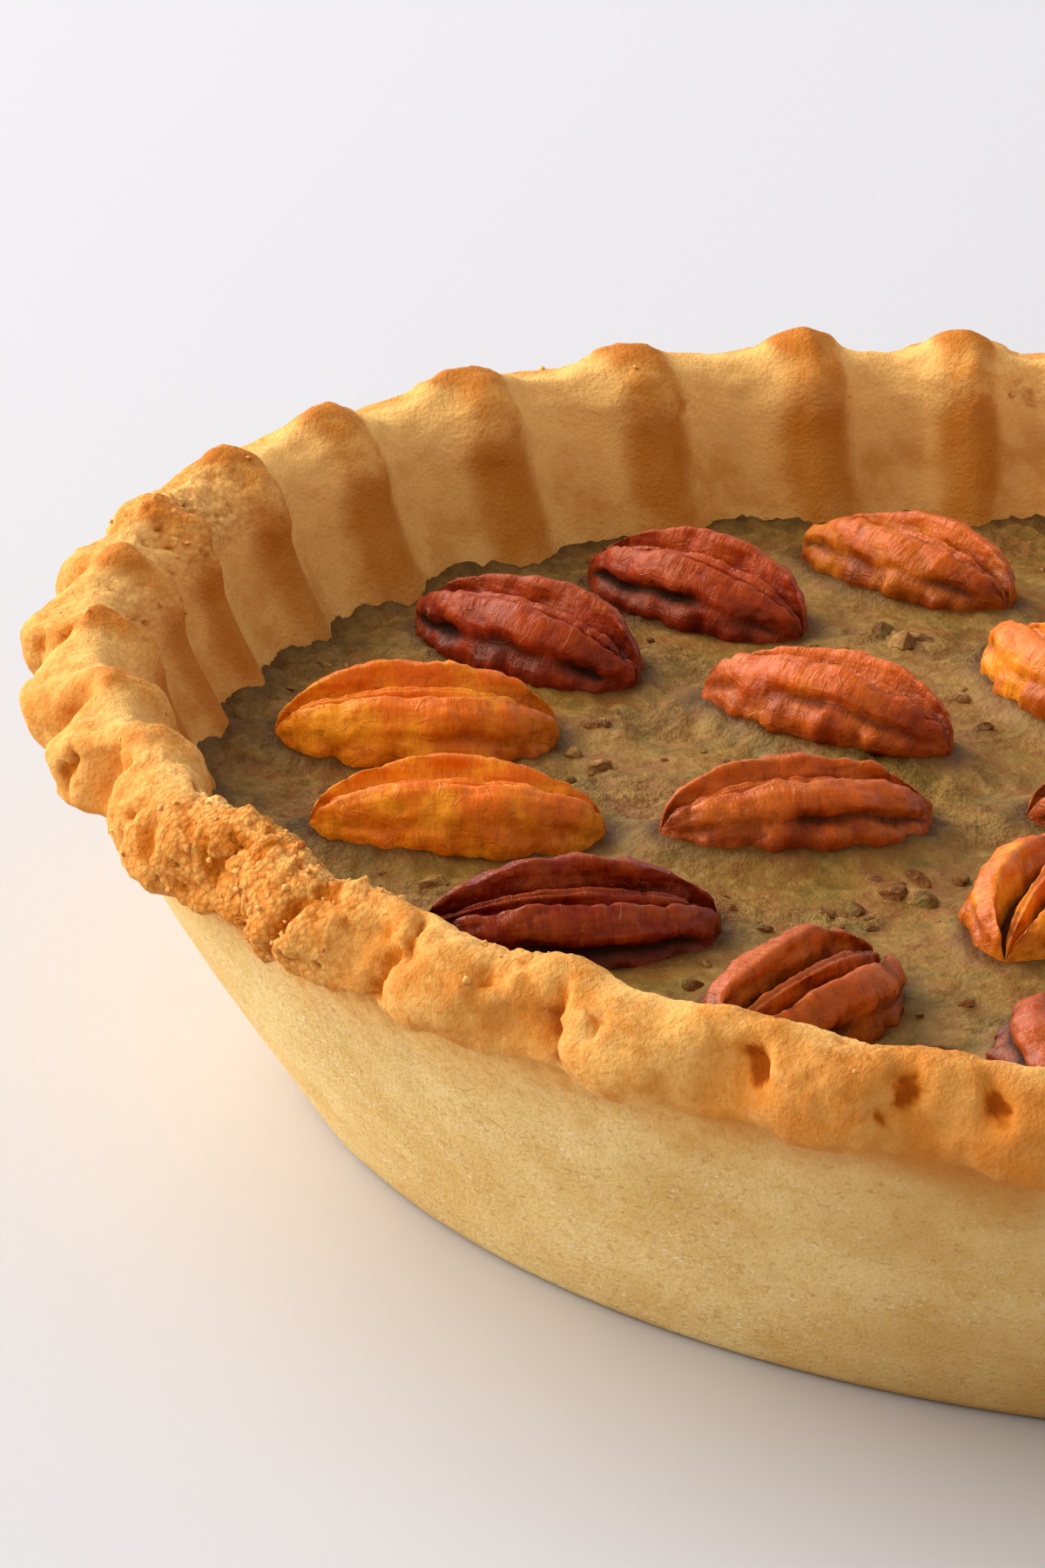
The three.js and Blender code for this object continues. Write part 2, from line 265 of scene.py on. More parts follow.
def spin_section(name, section, count):
    """Draws a section point by point, and spins it round the upright axis into a closed skin."""
    bpy.ops.object.select_all(action="DESELECT")
    bpy.ops.mesh.primitive_plane_add(size=mm, location=(0, 0, 0))
    piece = bpy.context.object
    piece.name = name
    bpy.ops.object.mode_set(mode="EDIT")
    bpy.ops.mesh.merge(type="CENTER")
    here = np.zeros(3)
    for number, (out, up) in enumerate(section * mm):
        step = Vector((out, 0, up)) - Vector(here)
        if number == 0:
            bpy.ops.transform.translate(value=step)
        else:
            bpy.ops.mesh.extrude_vertices_move(TRANSFORM_OT_translate={"value": step})
        here = (out, 0, up)
    bpy.ops.mesh.select_all(action="SELECT")
    bpy.ops.mesh.spin(steps=count, angle=2 * math.pi, center=(0, 0, 0), axis=(0, 0, 1))
    bpy.ops.mesh.select_all(action="SELECT")
    bpy.ops.mesh.remove_doubles(threshold=0.02 * mm)
    bpy.ops.mesh.normals_make_consistent(inside=False)
    bpy.ops.object.mode_set(mode="OBJECT")
    return piece


crust = spin_section("crust_shell", rows[:, 0], columns)
spun = points_of(crust)
spun_radius = np.hypot(spun[:, 0], spun[:, 1])
away = (spun_radius[:, None] - rows[None, :, 0, 0]) ** 2 + (spun[:, 2][:, None] - rows[None, :, 0, 1]) ** 2
row_at = away.argmin(axis=1)
turned = np.arctan2(spun[:, 1], spun[:, 0])
column_at = np.rint(-turned / (2 * np.pi) * columns).astype(int) % columns
radius_at = rows[row_at, column_at, 0]
height_at = rows[row_at, column_at, 1]
angle_at = angle_of[column_at]
set_points(crust, np.stack([radius_at * np.cos(angle_at), radius_at * np.sin(angle_at), height_at], axis=1))

smooth = points_of(crust)
outward = normals_of(crust)
section_at = along_section[row_at]
on_rim = ramp(section_at, -3.5, 1) * (1 - ramp(section_at, rim_end - 4, rim_end))

# The fingernail's pits in the outer face. Each pinch has one, most have a smaller one beside it, and the
# driest stretch has hardly any. Those of the first three pinches are set one by one: the pinch, how many
# degrees past it, the place along the section, then width, height and depth.
first_stretch = (235, 268)            # where they lie, in degrees
first_pits = [
    (2, -2.5, 10.0, 1.8, 1.3, 1.9),
    (2, 1.0, 7.5, 1.3, 2.7, 2.2),
    (2, 3.5, 8.5, 0.8, 1.2, 1.4),
    (1, 1.0, 7.5, 1.7, 2.1, 2.4),
    (1, 4.5, 9.0, 0.8, 1.0, 0.9),
    (0, -1.0, 9.0, 1.3, 2.4, 2.4),
    (0, -2.0, 6.0, 1.1, 1.3, 1.7),
    (0, 3.0, 8.5, 1.7, 2.3, 2.0),
]
pits = [(math.degrees(pinch_angles[k]) + past, *sizes) for k, past, *sizes in first_pits]
for k in range(pinches):
    at = math.degrees(pinch_angles[k]) % 360
    if first_stretch[0] < at < first_stretch[1]:
        continue
    how_firm = min(1, 0.1 + 1.2 * pinch_forces[k]) * (0.55 if 140 < at < 215 else 1)
    pits.append((
        at + draw(k, 31, -1.0, 1.0), draw(k, 32, 5.2, 9.2),
        draw(k, 33, 1.2, 2.0), draw(k, 34, 1.4, 3.0), draw(k, 35, 1.5, 2.6) * how_firm,
    ))
    if draw(k, 47, 0, 1) < 0.75:
        pits.append((
            at + draw(k, 36, 1.4, 3.2) * (1 if k % 2 else -1), draw(k, 37, 3.6, 10.0),
            draw(k, 38, 0.7, 1.2), draw(k, 39, 0.8, 2.0), draw(k, 40, 0.7, 1.5) * how_firm,
        ))
# Tears in the rim: the angle and the place along the section at both ends, then width and depth.
tears = [
    (225.4, 1.5, 227.8, 13.5, 0.7, 1.7),
    (222.2, 2.0, 223.4, 7.5, 0.7, 1.3),
    (219.4, 4.5, 220.8, 13.0, 0.7, 1.3),
    (216.6, 1.5, 214.6, 9.5, 0.9, 1.5),
    (212.4, 3.0, 213.4, 11.0, 0.6, 1.0),
    (231.4, 1.0, 233.6, 9.5, 1.2, 1.5),
    (234.2, 8.0, 233.2, 14.5, 0.7, 1.1),
    (243.4, 2.0, 242.6, 7.5, 0.8, 1.3),
]
for k in range(42):
    starts = draw(k, 41, 250, 570)
    if starts > first_stretch[1]:
        tears.append((
            starts, draw(k, 42, 0.8, 4.5), starts + draw(k, 43, -1.6, 1.6), draw(k, 44, 7, 14),
            draw(k, 45, 0.4, 0.9), draw(k, 46, 0.6, 1.5),
        ))
# Where the dough was driest, in degrees with the spread of each patch and how crumbly it was.
dry_patches = [(221.5, 10, 1.0), (168, 8, 0.65), (92, 10, 0.6), (18, 9, 0.7), (308, 9, 0.6)]

warped = smooth + 1.1 * np.stack([fractal(smooth + shift, 2.4, 2) for shift in (7, 23, 41)], axis=1)
warped_angle = np.arctan2(warped[:, 1], warped[:, 0])
warped_along = section_at + 1.2 * fractal(smooth + 61, 2.4, 2)

dent = np.zeros(len(smooth))
for pit_angle, pit_along, wide, tall, depth in pits:
    beside = off_angle(warped_angle, math.radians(pit_angle)) * wall_top_radius / wide
    along = (warped_along - pit_along) / tall
    dent = np.maximum(dent, 0.85 * depth * np.exp(-((beside**2 + along**2) ** 1.25)))

tear = np.zeros(len(smooth))
for from_angle, from_along, to_angle, to_along, width, depth in tears:
    share = (section_at - from_along) / (to_along - from_along)
    beside = off_angle(warped_angle, np.radians(mix(from_angle, to_angle, share))) * wall_top_radius
    open_here = np.sqrt(np.clip(np.sin(np.pi * np.clip(share, 0, 1)), 0, 1))
    tear = np.maximum(tear, depth * open_here * np.clip(1.15 - np.abs(beside) / (width + 0.3), 0, 1) ** 0.8)

dry = 0.12 + 0.3 * ramp(fractal(smooth + 11, 22, 1), 0.1, 0.4)
for middle, spread, strength in dry_patches:
    beside = off_angle(angle_at, math.radians(middle))
    dry = np.maximum(dry, strength * bump_of(beside, math.radians(spread)))

# Dry dough breaks into clusters of crumbs a few millimetres across, with narrow gaps between them.
crumb = np.zeros(len(smooth))
crack = np.zeros(len(smooth))
rim_points = np.flatnonzero(on_rim > 0.01)
crack[rim_points] = bump_of(fractal(warped[rim_points] + 37, 3.4, 2), 0.07)
crumb[rim_points] = 0.64 + 0.7 * fractal(warped[rim_points] + 15, 2.9, 3)
crumb[rim_points] += 0.4 * (grains(smooth[rim_points] + 5, 1.2) - 0.5)
crack *= ramp(fractal(smooth + 33, 6, 1), -0.25, 0.15)
swell = fractal(smooth, 7.0, 2)
rubbed = fractal(smooth + 90, 2.6, 3)
round_here = np.stack([smooth[:, 0], smooth[:, 1], 0 * smooth[:, 2]], axis=1)
sag = 0.8 + 1.6 * fractal(round_here, 9.0, 2) - 1.7 * lobe_of[column_at]
lip = ramp(section_at, sag, sag + 1.5) * (1 - ramp(section_at, 5, 11))
lip *= 0.35 + 0.45 * lobe_of[column_at] + 0.3 * fractal(smooth + 50, 4.0, 2)
relief = on_rim * (
    (0.6 * swell + lip) * (1 - 0.7 * dry) + 0.32 * rubbed
    + dry * (1.2 * (crumb - 0.6) - 1.0 * crack) - dent * (1 - 0.7 * dry) - tear
)
broken_edge = bump_of(section_at - reach[5], 1.8) * ramp(fractal(smooth + 71, 1.7, 2), 0.0, 0.35)
relief += 0.8 * ramp(dry, 0.4, 0.8) * on_rim * broken_edge
relief += (1 - on_rim) * (0.16 * swell + 0.06 * rubbed) * ramp(height_at, 0, 3)
set_points(crust, smooth + outward * relief[:, None])

inside = ramp(section_at, rim_end - 6.5, rim_end - 1)
# Painted shade in a band down the inner wall under each pinch, where the flutes fall into shadow.
crease_shade = inside * ramp(pinch_of[column_at], 0.05, 0.9) * ramp(height_at, 18, 34)
tip = bump_of(section_at - reach[5] + 0.6, 4.4) * ramp(pinch_of[column_at], 0.2, 0.95)
in_pinch = 0.35 * ramp(pinch_of[column_at], 0.15, 0.7) * (1 - ramp(section_at, 8, 13))
# Browning in the pinches and pits, with painted shade that deepens towards the bottom of each pit.
toast_and_pit_shade = np.maximum(ramp(dent * (1 - 0.7 * dry), 0.25, 1.7), in_pinch)
# Browning that differs at random over the shell, and painted shade round two stretches of it, on the near
# right and at the back.
browned_and_shaded = 0.45 * fractal(smooth + 19, 16, 2)
for middle, spread, strength in ((290, 42, 1.0), (85, 42, 0.7)):
    beside = off_angle(angle_at, math.radians(middle))
    browned_and_shaded += strength * bump_of(beside, math.radians(spread))
set_value(crust, "golden", ramp(section_at + 2.2 * swell, -9, 2.5))
set_value(crust, "toast_and_pit_shade", np.clip(toast_and_pit_shade * on_rim * (0.9 + 0.7 * rubbed), 0, 1))
set_value(crust, "tip", np.clip(tip * on_rim * (1 + 0.5 * rubbed), 0, 1))
set_value(crust, "browned_and_shaded", np.clip(browned_and_shaded, 0, 1))
# Painted shade in the tears and in the gaps between the crumbs.
crevice_shade = on_rim * (tear / 1.2 + dry * (0.9 * crack + 1.9 * (0.62 - crumb)))
set_value(crust, "crevice_shade", np.clip(crevice_shade, 0, 1))
set_value(crust, "dry", dry * on_rim)
set_value(crust, "inside", inside)
set_value(crust, "crease_shade", np.clip(crease_shade, 0, 1))
# Painted light on the upper inner faces of the lobes, which lie in shade.
lobe_top_light = ramp(lobe_of[column_at], 0.15, 0.6) * ramp(height_at, 33, 41) * ramp(section_at, 11, 14)
set_value(crust, "lobe_top_light", lobe_top_light)
pick(crust)
bpy.ops.object.shade_smooth()


class Tone:
    """One number or colour that changes over a surface. A sum on it adds a Math node to its finish."""

    def __init__(self, finish, socket):
        self.finish = finish
        self.socket = socket

    def _sum(self, operation, first, second):
        return self.finish.add("ShaderNodeMath", {"operation": operation}, {0: first, 1: second})

    def __add__(self, other):
        return self._sum("ADD", self, other)

    def __sub__(self, other):
        return self._sum("SUBTRACT", self, other)

    def __rsub__(self, other):
        return self._sum("SUBTRACT", other, self)

    def __mul__(self, other):
        return self._sum("MULTIPLY", self, other)

    __radd__ = __add__
    __rmul__ = __mul__


class Finish:
    """A material under way: its nodes are added one by one, and its shader's sockets are fed from them."""

    def __init__(self, name):
        self.material = bpy.data.materials.new(name)
        self.material.use_nodes = True
        self.tree = self.material.node_tree
        self.shader = self.tree.nodes["Principled BSDF"]
        self.place = self.add("ShaderNodeTexCoord", output="Object")

    def add(self, kind, settings=None, sockets=None, output=0):
        node = self.tree.nodes.new(kind)
        for name, value in (settings or {}).items():
            setattr(node, name, value)
        for socket, value in (sockets or {}).items():
            self.feed(node.inputs[socket], value)
        return Tone(self, node.outputs[output])

    def feed(self, socket, value):
        if isinstance(value, Tone):
            self.tree.links.new(value.socket, socket)
        else:
            socket.default_value = value

    def value(self, name):
        return self.add("ShaderNodeAttribute", {"attribute_name": name}, output="Fac")

    def stretched(self, place, shares):
        """The same places, measured coarser along some of the axes, so that what lies there is drawn out
        along them."""
        return self.add("ShaderNodeVectorMath", {"operation": "MULTIPLY"}, {0: place, 1: shares})

    def mottle(self, size, detail=3.0, roughness=0.55, seed=0.0, place=None):
        """Cloudy noise whose spots are about that many millimetres across, from 0 to 1."""
        where = self.add("ShaderNodeVectorMath", {"operation": "ADD"}, {
            0: place or self.place, 1: (seed, seed, seed),
        })
        return self.add("ShaderNodeTexNoise", None, {
            "Vector": where, "Scale": 1 / (size * mm), "Detail": detail, "Roughness": roughness,
        })

    def rise(self, tone, start, end):
        """0 where the tone is below start, 1 above end."""
        return self.add("ShaderNodeMapRange", {"interpolation_type": "SMOOTHSTEP"}, {
            "Value": tone, "From Min": start, "From Max": end,
        })

    def blend(self, share, under, over):
        """One colour over another: only the first where the share is 0, only the second where it is 1."""
        return self.add("ShaderNodeMix", {"data_type": "RGBA"}, {0: share, 6: under, 7: over}, output=2)

    def relief(self, height, depth):
        """Fine relief that is that many millimetres deep."""
        return self.add("ShaderNodeBump", None, {"Height": height, "Distance": depth * mm, "Strength": 1.0})

    def shade(self, **sockets):
        for name, value in sockets.items():
            self.feed(self.shader.inputs[name.replace("_", " ")], value)


def tint(red, green, blue):
    """A colour as it is seen, from 0 to 255, for a shader's socket."""
    seen = np.array([red, green, blue]) / 255
    linear = np.where(seen <= 0.04045, seen / 12.92, ((seen + 0.055) / 1.055) ** 2.4)
    return (*linear.tolist(), 1.0)


pastry = Finish("baked_pastry")
blotch = pastry.mottle(13)
streak = pastry.mottle(4.5, 3, 0.6, 17.9)
sand = pastry.mottle(1.4, 4, 0.7, 7.7)
grain = pastry.mottle(0.5, 2, 0.6, 3.1)
speck = pastry.mottle(1.0, 1, 0.5, 11.3)
crumbs = 1 - pastry.add("ShaderNodeTexVoronoi", {"feature": "F1"}, {
    "Vector": pastry.place, "Scale": 1 / (0.75 * mm),
})
dryness = pastry.value("dry")

dough = pastry.blend(pastry.rise(blotch, 0.35, 0.68), tint(238, 204, 134), tint(226, 182, 106))
dough = pastry.blend(pastry.rise(streak, 0.42, 0.7) * 0.35, dough, tint(222, 188, 112))
dough = pastry.blend(pastry.rise(sand, 0.42, 0.68) * 0.3, dough, tint(246, 220, 166))
dough = pastry.blend(pastry.rise(1 - sand, 0.5, 0.7) * 0.3, dough, tint(208, 158, 84))
dough = pastry.blend(pastry.rise(speck, 0.64, 0.74) * 0.4, dough, tint(186, 120, 44))
dough = pastry.blend(pastry.rise(grain, 0.62, 0.76) * 0.5, dough, tint(238, 214, 164))
pitted = pastry.rise(pastry.mottle(9, 2, 0.5, 31.9), 0.42, 0.6) * (1 - pastry.value("golden"))
level_place = pastry.stretched(pastry.place, (0.7, 0.7, 1.2))
pit = pastry.rise(1 - pastry.mottle(0.9, 2, 0.5, 21.7, level_place), 0.6, 0.72) * pitted
dough = pastry.blend(pit * 0.16, dough, tint(176, 122, 50))
glint = pastry.rise(pastry.mottle(0.55, 1, 0.5, 27.3), 0.63, 0.72) * pitted
dough = pastry.blend(glint * 0.6, dough, tint(252, 240, 208))
# Darker dough where it browned, and painted shade on the near right and at the back.
tanned_and_shaded = pastry.rise(pastry.value("browned_and_shaded") + (blotch - 0.5) * 0.5, 0.25, 1.1)
dough = pastry.blend(tanned_and_shaded * 0.7, dough, tint(198, 146, 76))

golden = pastry.blend(pastry.rise(streak, 0.35, 0.65), tint(230, 172, 90), tint(214, 144, 62))
golden = pastry.blend(pastry.rise(sand, 0.45, 0.7) * 0.4, golden, tint(236, 188, 122))
golden = pastry.blend(pastry.rise(1 - sand, 0.48, 0.66) * 0.35, golden, tint(196, 112, 34))
golden = pastry.blend(pastry.rise(speck, 0.6, 0.74) * 0.35, golden, tint(202, 112, 34))
# Darker rim where it browned, and painted shade on the near right and at the back.
over_brown_and_shade = pastry.rise(pastry.value("browned_and_shaded") + (streak - 0.5) * 0.7, 0.1, 1.0) * 0.8
golden = pastry.blend(over_brown_and_shade, golden, tint(192, 112, 36))
golden = pastry.blend(dryness * 0.45, golden, tint(218, 142, 56))
skin = pastry.blend(pastry.value("golden"), dough, golden)

inner = pastry.blend(pastry.rise(streak, 0.35, 0.7), tint(222, 160, 86), tint(204, 134, 60))
skin = pastry.blend(pastry.value("inside") * 0.9, skin, inner)
# Painted light on the upper inner faces of the lobes.
skin = pastry.blend(pastry.value("lobe_top_light") * 0.8, skin, tint(246, 192, 112))
# Painted shade, a deep orange, in the bands down the inner wall under the pinches.
crease_shade = pastry.rise(pastry.value("crease_shade") + (streak - 0.5) * 0.4, 0.1, 1.05)
skin = pastry.blend(crease_shade * 0.8, skin, tint(176, 96, 4))
# Painted shade in the hollows between the crumbs where the dough is dry.
between = pastry.rise(1 - crumbs, 0.35, 0.75) * dryness * 0.75
skin = pastry.blend(between, skin, tint(196, 106, 32))
tip = pastry.rise(pastry.value("tip") + (sand - 0.5) * 0.5, 0.2, 0.9)
skin = pastry.blend(tip * 0.75, skin, tint(184, 100, 20))
# Painted shade in the tears and in the gaps between the crumbs.
skin = pastry.blend(pastry.rise(pastry.value("crevice_shade"), 0.1, 0.8) * 0.95, skin, tint(182, 96, 8))
# Deeper orange-brown in the pits and pinches: partly browning, partly painted shade that deepens towards
# the bottom of each pit.
toast_and_pit_shade = pastry.value("toast_and_pit_shade") + (sand - 0.5) * 0.5
skin = pastry.blend(pastry.rise(toast_and_pit_shade, 0.0, 0.5) * 0.8, skin, tint(214, 126, 34))
skin = pastry.blend(pastry.rise(toast_and_pit_shade, 0.2, 0.85) * 0.95, skin, tint(158, 70, 0))

fine_relief = sand * 0.3 + grain * 0.5 + crumbs * pastry.rise(dryness, 0.2, 0.9) * 0.8 - pit * 0.2
pastry.shade(
    Base_Color=skin,
    Roughness=0.6 + 0.3 * grain,
    Normal=pastry.relief(fine_relief, 0.55),
    Subsurface_Weight=0.15,
    Subsurface_Radius=(1.0, 0.5, 0.2),
    Subsurface_Scale=2.0 * mm,
    Specular_IOR_Level=0.12,
    Specular_Tint=(1.0, 0.8, 0.5, 1.0),
)
crust.data.materials.append(pastry.material)
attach(crust, "root")
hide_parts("crust")

# Loose crumbs that cling where the dough was driest, as many as one doubled so many times.
crumb_doublings = 8
crumb_size = 0.62


def scattered_balls(name, subdivisions, radius, doublings):
    """One small ball, doubled in place that many times into one piece, and the points of a single ball."""
    bpy.ops.object.select_all(action="DESELECT")
    bpy.ops.mesh.primitive_ico_sphere_add(subdivisions=subdivisions, radius=radius * mm, location=(0, 0, 0))
    piece = bpy.context.object
    piece.name = name
    one = points_of(piece)
    bpy.ops.object.mode_set(mode="EDIT")
    for _ in range(doublings):
        bpy.ops.mesh.select_all(action="SELECT")
        bpy.ops.mesh.duplicate()
    bpy.ops.object.mode_set(mode="OBJECT")
    return piece, one


def spun_and_tipped(spin, tip):
    """What turns rows of points by the tip about X, and then by the spin about Z."""
    return np.array(Matrix.Rotation(spin, 3, "Z") @ Matrix.Rotation(tip, 3, "X")).T


loose, grain_points = scattered_balls("crust_crumbs", 1, 0.5, crumb_doublings)
baked = points_of(crust)
facing = normals_of(crust)
likely = (dry * on_rim * ramp(section_at, 1, 5)) ** 2 * (1 + crack)
likely = np.cumsum(likely / likely.sum())
crumb_points = []
for number in range(2**crumb_doublings):
    host = int(np.searchsorted(likely, draw(number, 91, 0, 1)))
    size = crumb_size * draw(number, 92, 0.75, 1.2) ** 2.6
    knocks = draw(np.arange(grain_points.size) + 61.7 * number, 93, -0.24, 0.24).reshape(-1, 3)
    grain_here = (grain_points + knocks) * (size, size * draw(number, 94, 0.6, 1), size * 0.8)
    tumbled = grain_here @ spun_and_tipped(draw(number, 95, 0, 6.28), draw(number, 96, 0, 3))
    crumb_points.append(tumbled + baked[host] + facing[host] * 0.08 * size)
set_points(loose, np.concatenate(crumb_points))
pick(loose)
bpy.ops.object.shade_smooth()

crumbly = Finish("crust_crumb")
sandy = crumbly.mottle(0.6, 2, 0.6, 14.3)
scorched = crumbly.rise(crumbly.mottle(2.2, 2, 0.5, 9.7), 0.45, 0.65)
shade_of = crumbly.blend(scorched, tint(230, 164, 82), tint(206, 122, 44))
crumbly.shade(
    Base_Color=crumbly.blend(crumbly.rise(sandy, 0.4, 0.7) * 0.5, shade_of, tint(238, 184, 108)),
    Roughness=0.75,
    Normal=crumbly.relief(sandy, 0.25),
    Subsurface_Weight=0.15,
    Subsurface_Radius=(1.0, 0.5, 0.2),
    Subsurface_Scale=1.0 * mm,
    Specular_IOR_Level=0.22,
)
loose.data.materials.append(crumbly.material)
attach(loose, "root")
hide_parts("crust")

# ---- Pecan halves -----------------------------------------------------------------------------------
# Shelled pecan halves with their brown skins on, laid ridged side up and pressed a little into the
# filling. Each has two broad lobes with a narrow ridge between two deep grooves, and a smaller lobe low
# down on each side. Some baked to a deep mahogany, and some stayed caramel.

around = 144
lengthways = 76
halves = sorted(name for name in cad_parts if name.startswith("pecan_"))

# How dark each half is, from 0 for caramel to 1 for dark mahogany, and how red.
looks = {
    "pecan_01": (0.52, 0.3), "pecan_02": (0.9, 0.9), "pecan_03": (0.98, 0.7),
    "pecan_04": (0.1, 0.1), "pecan_05": (0.0, 0.0), "pecan_06": (1.1, 0.2),
    "pecan_07": (0.66, 0.3), "pecan_08": (0.8, 0.4), "pecan_18": (0.2, 0.5),
    "pecan_19": (0.42, 1.0), "pecan_20": (0.56, 0.65), "pecan_21": (0.3, 0.4),
    "pecan_26": (0.5, 0.5),
}


def lie_of(node):
    """How a half lies: its long axis to the slimmer end, the axis across, the one out of its back, the
    middle of its flat side, and its length, width and height, in millimetres."""
    corners = np.array([v.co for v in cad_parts[node].data.vertices]) / mm
    corners = np.unique(corners.round(4), axis=0)
    _, axes = np.linalg.eigh(np.cov((corners - corners.mean(axis=0)).T))
    along, up = axes[:, 2], axes[:, 0]
    up = up * np.sign(up[2])
    across = np.cross(up, along)
    own = corners @ np.stack([along, across, up], axis=1)
    own = own - (own.max(axis=0) + own.min(axis=0)) / 2
    if np.abs(own[own[:, 0] > 0, 1]).mean() > np.abs(own[own[:, 0] < 0, 1]).mean():
        along, across = -along, -across
    turned_in = np.stack([along, across, up], axis=1)
    own = corners @ turned_in
    low, high = own.min(axis=0), own.max(axis=0)
    middle = turned_in @ np.array([(low[0] + high[0]) / 2, (low[1] + high[1]) / 2, low[2]])
    return turned_in, middle, high - low


# Half a section, from the ridge's middle line over one lobe and under its edge to the middle of the flat
# side: how far out each place lies and how high, as shares of half the width and of the height.
lobe_section = np.array([
    (0.0, 0.82), (0.05, 0.85), (0.1, 0.74), (0.2, 0.4), (0.35, 0.78), (0.5, 1.0), (0.7, 0.93),
    (0.89, 0.72), (0.97, 0.55), (1.0, 0.38), (0.97, 0.15), (0.76, 0.02), (0.35, 0.0), (0.0, 0.02),
])
main_groove, side_groove = 3, 8
mirrored = np.array([-1, 1])
typical_half = np.array([7.6, 9.2])
section_steps = np.linalg.norm(np.diff(lobe_section * typical_half, axis=0), axis=1)
half_reach = np.concatenate([[-section_steps[0], 0], np.cumsum(section_steps)])
half_reach = np.append(half_reach, half_reach[-1] + section_steps[-1])
places_over = np.linspace(0, 1, around // 2 + 1) ** 1.2 * half_reach[-2]
shares = np.cos(np.pi * np.arange(lengthways + 1) / lengthways)
to_end = np.abs(shares)


def wander(index, subject, slow=3.1, quick=7.7):
    """A wave along a half, from about -1 to 1, that no other half has."""
    first, second = draw(index, subject, 0, 6.3), draw(index, subject + 0.5, 0, 6.3)
    return 0.62 * np.sin(slow * shares + first) + 0.38 * np.sin(quick * shares + second)


def lobe_rows(index, side, size, dried):
    """One lobe of a half: the points over it at each share of its length, and how deep in a groove each
    of them is."""
    knots = np.repeat(lobe_section[:, None, :], len(shares), axis=1)
    knots[1:5, :, 0] *= 1 + 0.45 * shares**2
    knots[2:5, :, 0] += 0.035 * wander(index, 51 + side)
    knots[main_groove, :, 1] -= 0.07 * wander(index, 53 + side, 4.1, 9.3)
    knots[main_groove + 1, :, 0] += 0.045 * wander(index, 67 + side, 3.7, 11)
    opened = np.clip(0.78 + 0.5 * wander(index, 55 + side, 3.3, 8.7), 0, 1) * ramp(1 - to_end, 0.02, 0.2)
    opened *= 0.4 + 0.6 * dried
    knots[side_groove, :, 0] -= 0.2 * opened
    knots[side_groove - 1 : side_groove + 2, :, 1] += 0.06 * wander(index, 57 + side, 4.7, 13)
    knots[5:7, :, 1] += 0.035 * wander(index, 59 + side, 5.3, 13)
    knots[5:8, :, 0] += 0.025 * wander(index, 61 + side, 6.1, 17)
    knots[9:11, :, 0] += 0.07 * wander(index, 63 + side, 15, 33)
    knots = np.concatenate([knots[1:2] * mirrored, knots, knots[-2:-1] * mirrored])

    wide = (1 - to_end**2.3) ** 0.62 * (1 - 0.1 * shares) * size[1] / 2 / 0.98
    high = (0.34 + 0.66 * (1 - to_end**2.2) ** 0.7) * size[2] / 0.95
    rounding = np.minimum(1, 3.2 * np.sqrt(np.clip(1 - shares**2, 0, 1)))
    points, depths = [], []
    for at in places_over:
        out, up = smooth_curve(knots, half_reach, at).T
        groove = np.clip(bump_of(at - half_reach[main_groove + 1], 1.8) * 1.2, 0, 1)
        low_groove = bump_of(at - half_reach[side_groove + 1], 0.85) * opened
        height = 0.2 * size[2] + ((0.06 + 0.94 * up) * high - 0.2 * size[2]) * rounding
        notch = 0.055 * groove * to_end**10
        points.append(np.stack([
            shares * (1 - notch) * size[0] / 2, out * wide, height + 0.05 * size[2] * shares**2,
        ], axis=1))
        depths.append(np.maximum(groove * ramp(1 - to_end, 0, 0.06), 0.85 * low_groove))
    return np.array(points), np.array(depths)


